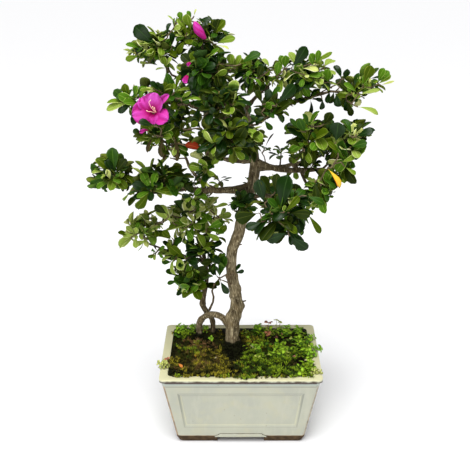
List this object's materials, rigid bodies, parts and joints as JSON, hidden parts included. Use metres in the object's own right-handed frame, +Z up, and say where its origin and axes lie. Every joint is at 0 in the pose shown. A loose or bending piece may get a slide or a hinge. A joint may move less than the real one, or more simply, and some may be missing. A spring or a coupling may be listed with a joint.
{
  "type": "azalea bonsai in a pot",
  "caption": "Small azalea trained as an upright bonsai with a second stem, one open bloom and a bud, in a rectangular glazed footed pot filled with mossy soil.",
  "frame": {"origin": "on the surface that the pot stands on, under the middle of the whole plant and pot", "axes": "+Z up, +X to the right seen from the front, -Y towards the front, the side that the open bloom faces"},
  "size_m": [0.3661, 0.2061, 0.5286],
  "materials": {
    "glaze": "gloss",
    "moss": "matte",
    "bark": "matte",
    "foliage": "satin"
  },
  "bodies": {
    "root": {"pot": "glaze", "soil": "moss", "trunk": "bark", "second_stem": "bark", "arch_root": "bark", "bough_left_low": "bark", "bough_left_tip": "bark", "bough_bloom_low": "bark", "bough_mid_left": "bark", "bough_right": "bark", "bough_right_up": "bark", "bough_right_hang": "bark", "bough_upper_right": "bark", "bough_right_crown": "bark", "bough_shoulder": "bark", "bough_apex": "bark", "bough_upper_left": "bark", "bough_bloom_high": "bark", "bough_front_low": "bark", "bough_front_mid": "bark", "bough_lower_left": "bark", "bough_back_low_left": "bark", "bough_back_low_right": "bark", "bough_back_centre": "bark", "bough_back_left": "bark", "bough_back_right": "bark", "bough_back_top": "bark", "leaves_apex": "foliage", "leaves_apex_low": "foliage", "leaves_top_left": "foliage", "leaves_bloom_high": "foliage", "leaves_bloom_low": "foliage", "leaves_centre_upper": "foliage", "leaves_centre": "foliage", "leaves_shoulder": "foliage", "leaves_upper_right": "foliage", "leaves_far_right": "foliage", "leaves_inner_right": "foliage", "leaves_right_mid": "foliage", "leaves_right_outer": "foliage", "leaves_right_hanging": "foliage", "leaves_front_low": "foliage", "leaves_trunk_tuft": "foliage", "leaves_far_left": "foliage", "leaves_left_mid": "foliage", "leaves_centre_left": "foliage", "leaves_stem_top": "foliage", "leaves_stem_tip_left": "foliage", "leaves_stem_mid": "foliage", "leaves_stem_low": "foliage", "leaves_trunk_twig": "foliage", "leaves_back_low_left": "foliage", "leaves_back_low_right": "foliage", "leaves_back_centre": "foliage", "leaves_back_left": "foliage", "leaves_back_right": "foliage", "leaves_back_top": "foliage"}
  },
  "joints": []
}
